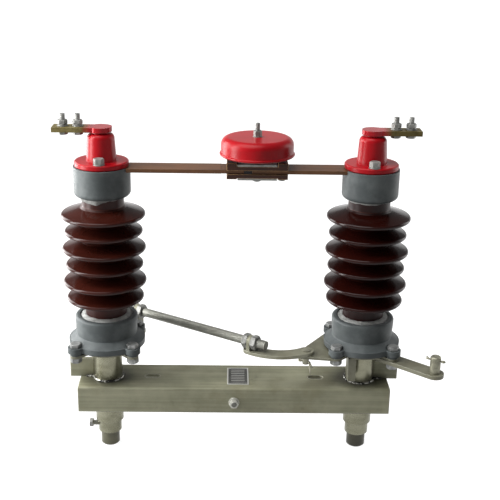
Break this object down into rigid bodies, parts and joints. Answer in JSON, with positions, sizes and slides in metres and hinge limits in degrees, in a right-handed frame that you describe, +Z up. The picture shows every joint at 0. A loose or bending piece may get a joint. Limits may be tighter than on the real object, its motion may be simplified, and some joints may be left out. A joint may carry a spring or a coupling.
{
  "type": "outdoor disconnect switch pole, double-post centre-break",
  "caption": "Outdoor high-voltage disconnect switch pole: porcelain posts turn on a channel beam and swing flat blades apart under a red rain hood.",
  "frame": {"origin": "middle of the channel beam, on the underside of its web, between the two mounting slots", "axes": "+Z up along the posts, +X along the beam towards the post with the drive arm, -Y towards the side the blades swing to"},
  "size_m": [0.5844, 0.2181, 0.5412],
  "materials": {
    "galvanised": "dull galvanised, olive tint",
    "cast_grey": "satin grey",
    "porcelain": "glossy brown glaze",
    "cement": "matt",
    "red_paint": "glossy",
    "copper": "dull brown copper",
    "zinc_bolts": "zinc plated",
    "brass_bar": "dull brass",
    "plate_metal": "satin"
  },
  "bodies": {
    "base": {"base_beam": "galvanised", "left_bearing_tube": "galvanised", "right_bearing_tube": "galvanised", "stop_fins": "galvanised", "rating_plate": "plate_metal", "earth_bolt": "zinc_bolts"},
    "left_post": {"left_shaft": "galvanised", "left_collar": "galvanised", "left_seat_plate": "galvanised", "left_crank_pin": "zinc_bolts", "left_base_fitting": "cast_grey", "left_cement": "cement", "left_insulator": "porcelain", "left_top_fitting": "cast_grey", "left_blade": "copper", "left_cap": "red_paint", "left_cap_bolts": "zinc_bolts", "left_flange_bolts": "zinc_bolts"},
    "right_post": {"right_shaft": "galvanised", "right_collar": "galvanised", "right_seat_plate": "galvanised", "stop_bar": "galvanised", "drive_arm": "galvanised", "drive_pin": "zinc_bolts", "right_crank_pin": "zinc_bolts", "right_base_fitting": "cast_grey", "right_cement": "cement", "right_insulator": "porcelain", "right_top_fitting": "cast_grey", "right_blade": "copper", "right_cap": "red_paint", "right_cap_bolts": "zinc_bolts", "right_flange_bolts": "zinc_bolts", "upper_fingers": "copper", "lower_fingers": "copper", "pressure_springs": "zinc_bolts", "rain_hood": "red_paint", "contact_bolts": "zinc_bolts"},
    "connecting_link": {"right_link": "galvanised", "left_link": "galvanised", "connecting_rod": "galvanised", "rod_nuts": "zinc_bolts"},
    "left_terminal_bar": {"left_terminal": "brass_bar", "left_terminal_bolts": "zinc_bolts"},
    "right_terminal_bar": {"right_terminal": "brass_bar", "right_terminal_bolts": "zinc_bolts"}
  },
  "joints": [
    {"name": "right_post_turn", "type": "hinge", "parent": "base", "child": "right_post", "pos_m": [0.2, 0, 0], "axis": [0, 0, 1], "range_deg": [0, 90]},
    {"name": "left_post_turn", "type": "hinge", "parent": "base", "child": "left_post", "pos_m": [-0.2, 0, 0], "axis": [0, 0, -1], "range_deg": [0, 90]},
    {"name": "link_pivot", "type": "hinge", "parent": "right_post", "child": "connecting_link", "pos_m": [0.11073, -0.03249, 0.0645], "axis": [0, 0, -1], "range_deg": [0, 90]},
    {"name": "left_terminal_swivel", "type": "hinge", "parent": "left_post", "child": "left_terminal_bar", "pos_m": [-0.2, 0, 0.4018], "axis": [0, 0, 1], "range_deg": [0, 90]},
    {"name": "right_terminal_swivel", "type": "hinge", "parent": "right_post", "child": "right_terminal_bar", "pos_m": [0.2, 0, 0.4018], "axis": [0, 0, -1], "range_deg": [0, 90]}
  ],
  "couplings": [
    {"joint": "left_post_turn", "follows": "right_post_turn", "ratio": 1},
    {"joint": "link_pivot", "follows": "right_post_turn", "ratio": 1}
  ]
}
